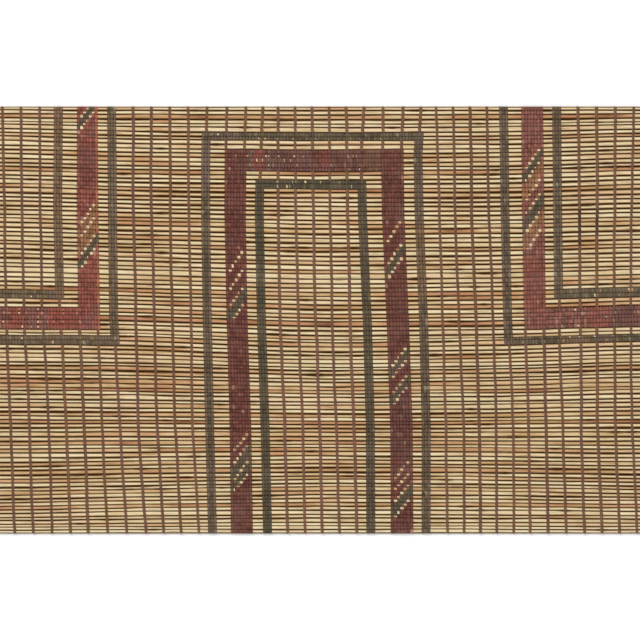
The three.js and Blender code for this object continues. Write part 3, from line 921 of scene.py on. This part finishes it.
def faded(dye, ring, part, places, draw):
    dye = dye.copy()
    for row in fadeRows:
        if row["ring"] == ring["name"] and row["part"] == part:
            inside = np.minimum(places - row["from"], row["to"] - places)[:, None] / 3
            share = row["share"] * np.clip(inside + draw.uniform(-0.3, 0.3, inside.shape), 0, 1)
            dye = dye * (1 - share) + np.array(dyes[row["dye"]]) * share
    return dye


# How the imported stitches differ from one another
stitchLook = {
    "darkest": 0.73,
    "lightest": 1.27,
    "rubbed": 0.03,  # the share of stitches rubbed pale
    "loose": 0.06,  # the share of a bar's stitches that stand a little aside
    "looseWidth": 0.8,
    "openWidth": 0.5,
    "rustShare": 0.6,  # in the last column of the left red leg
}


def stitchDye(base, worn, pale, count, draw):
    # A column leans towards the worn shade, each stitch differs a little, and a few are rubbed pale.
    look, shape = stitchLook, (count, 1)
    lean = np.clip(draw.uniform(-0.2, 0.5) + draw.uniform(-0.2, 0.2, shape), 0, 1)
    colour = np.array(base) * (1 - lean) + np.array(worn) * lean
    colour = colour * draw.uniform(look["darkest"], look["lightest"], shape)
    rubbed = np.where(draw.uniform(0, 1, shape) < look["rubbed"], draw.uniform(0.2, 0.6, shape), 0)
    return colour * (1 - rubbed) + np.array(pale) * rubbed


def makeBands():
    made = []
    draw = np.random.default_rng(31)
    for motif in motifLines:
        for dye in ("green", "red"):
            rings = [ring for ring in ringRows if ring["name"].startswith(motif) and ring["dye"] == dye]
            nodes = [ring["name"] + "_band" for ring in rings]
            strands = Strands(motif + "_" + dye + "_thongs", dye, dye + "_leather", nodes)
            base = dyes[motif + dye.capitalize()]
            for ring in rings:
                for number, leg in enumerate(ring["legs"]):
                    addLeg(strands, ring, number, leg, base, draw)
                addBar(strands, ring, base, draw)
            made.append(strands.makePiece())
    return made


def addLeg(strands, ring, number, leg, base, draw):
    first, last = legReeds(ring)
    green = len(leg) == 1
    columns = thongSizes["greenColumns"] if green else thongSizes["redColumns"]
    for column in range(columns):
        def columnX(row):
            start, end = legEdges(leg, evenGroove(row))
            return start + (end - start) * (column + 0.5) / columns

        starts, ends = legEdges(leg, evenGroove(np.arange(first, last + 1)))
        over = np.ones(last - first)
        edgeShare = 0.5 if green and column != 1 else 0
        shade = np.array(base) * (1 - edgeShare) + np.array(dyes["edgeTan"]) * edgeShare
        worn, pale = (dyes["mauve"], dyes["paleGreen"]) if green else (base, dyes["pale"])
        dye = stitchDye(shade, worn, pale, last - first, draw)
        if ring["name"] == "left_red" and column == columns - 1:
            dye = dye * (1 - stitchLook["rustShare"]) + np.array(dyes["rust"]) * stitchLook["rustShare"]
        dye = faded(dye, ring, "leg " + str(number), np.arange(first, last), draw)
        for section in slantRows:
            if section["ring"] == ring["name"] and section["leg"] == number:
                slantStitches(section, column, first, over, dye, draw)
        strands.addPair(columnX, first, last, columnWidths((ends - starts).max() / columns), over, dye)


def slantStitches(section, column, first, over, dye, draw):
    openNumbers = section["open"]
    for row in range(section["reeds"]):
        number = row + column
        place = section["firstReed"] + row - first
        if number in openNumbers and 0 < column < thongSizes["redColumns"] - 1:
            over[place] = draw.choice([0, 0.3, 0.6], p=[0.75, 0.15, 0.1])
        for start, end, name in zip(openNumbers, openNumbers[1:], section["between"]):
            if start < number < end:
                dye[place] = np.array(dyes[name]) * draw.uniform(0.85, 1.15)


def addBar(strands, ring, base, draw):
    start, end = barEnds(ring)
    y = evenGroove(ring["firstReed"] + ring["reeds"] / 2)
    if not ring["name"].startswith("left"):
        start = legEdges(ring["legs"][0], y)[1]
    if not ring["name"].startswith("right"):
        end = legEdges(ring["legs"][-1], y)[0]
    columns = round((end - start) / thongSizes["barPitch"])
    pitch = (end - start) / columns
    first, count = ring["firstReed"], ring["reeds"]
    rowTint = draw.uniform(0.88, 1.12, (count, 1))
    pale = dyes["paleGreen"] if ring["dye"] == "green" else dyes["pale"]
    for column in range(columns):
        x = start + (column + 0.5) * pitch + draw.uniform(-0.1, 0.1)
        loose = draw.uniform(0, 1, count) < stitchLook["loose"]
        over = np.where(loose, stitchLook["looseWidth"], 1.0)
        for row in openStitches:
            if row["ring"] == ring["name"] and min(abs(x - place) for place in row["x"]) < pitch / 2:
                over[row["reed"] - first] = stitchLook["openWidth"]
        dye = stitchDye(base, dyes["mauve"], pale, count, draw) * rowTint
        dye = faded(dye, ring, "bar", np.full(count, x), draw)
        strands.addPair(lambda row: x, first, first + count, columnWidths(pitch), over, dye)


# Studio
studio = {
    "lens": 130.0,
    "sensor": 36.0,
    "frameWidth": 440.3,  # millimetres of the mat that the picture's width takes in
    "floor": paint(254, 254, 254),
    "floorReach": 6.0,
    "world": 0.25,
}
lampRows = [
    {"name": "key", "place": (-0.4, 0.85, 1.9), "size": 1.1, "watts": 29},
    {"name": "fill", "place": (0.6, -1.2, 1.9), "size": 1.8, "watts": 14},
    {"name": "top", "place": (0.0, 0.1, 2.4), "size": 1.6, "watts": 9.4},
]


def makeStudio():
    scene = bpy.context.scene
    camera = bpy.data.objects.new("camera", bpy.data.cameras.new("camera"))
    camera.data.lens = studio["lens"]
    camera.data.sensor_width = studio["sensor"]
    distance = studio["frameWidth"] * studio["lens"] / studio["sensor"]
    camera.location = (0, 0, (3.0 + distance) * mm)  # over the mat's worked face
    camera.data.clip_end = 50
    scene.collection.objects.link(camera)
    scene.camera = camera
    floorMesh = bpy.data.meshes.new("floor")
    reach = studio["floorReach"]
    corners = [(-reach, -reach, 0), (reach, -reach, 0), (reach, reach, 0), (-reach, reach, 0)]
    floorMesh.from_pydata(corners, [], [(0, 1, 2, 3)])
    floor = bpy.data.objects.new("floor", floorMesh)
    floor.location.z = -0.0002
    finish = Finish("pale_floor")
    finish.surface(Base_Color=studio["floor"], Roughness=0.9)
    floorMesh.materials.append(finish.material)
    scene.collection.objects.link(floor)
    for row in lampRows:
        lamp = bpy.data.lights.new(row["name"], "AREA")
        lamp.size = row["size"]
        lamp.energy = row["watts"]
        light = bpy.data.objects.new(row["name"], lamp)
        light.location = row["place"]
        light.rotation_mode = "QUATERNION"
        light.rotation_quaternion = (-light.location).to_track_quat("-Z", "Y")
        scene.collection.objects.link(light)
    world = bpy.data.worlds.new("studio")
    world.use_nodes = True
    background = world.node_tree.nodes["Background"]
    background.inputs["Color"].default_value = (1, 1, 1, 1)
    background.inputs["Strength"].default_value = studio["world"]
    scene.world = world
    scene.view_settings.view_transform = "Standard"
    print("studio ready")


makeStudio()
reeds = makeReeds()
groundThongs = makeGroundThongs()
bands = makeBands()
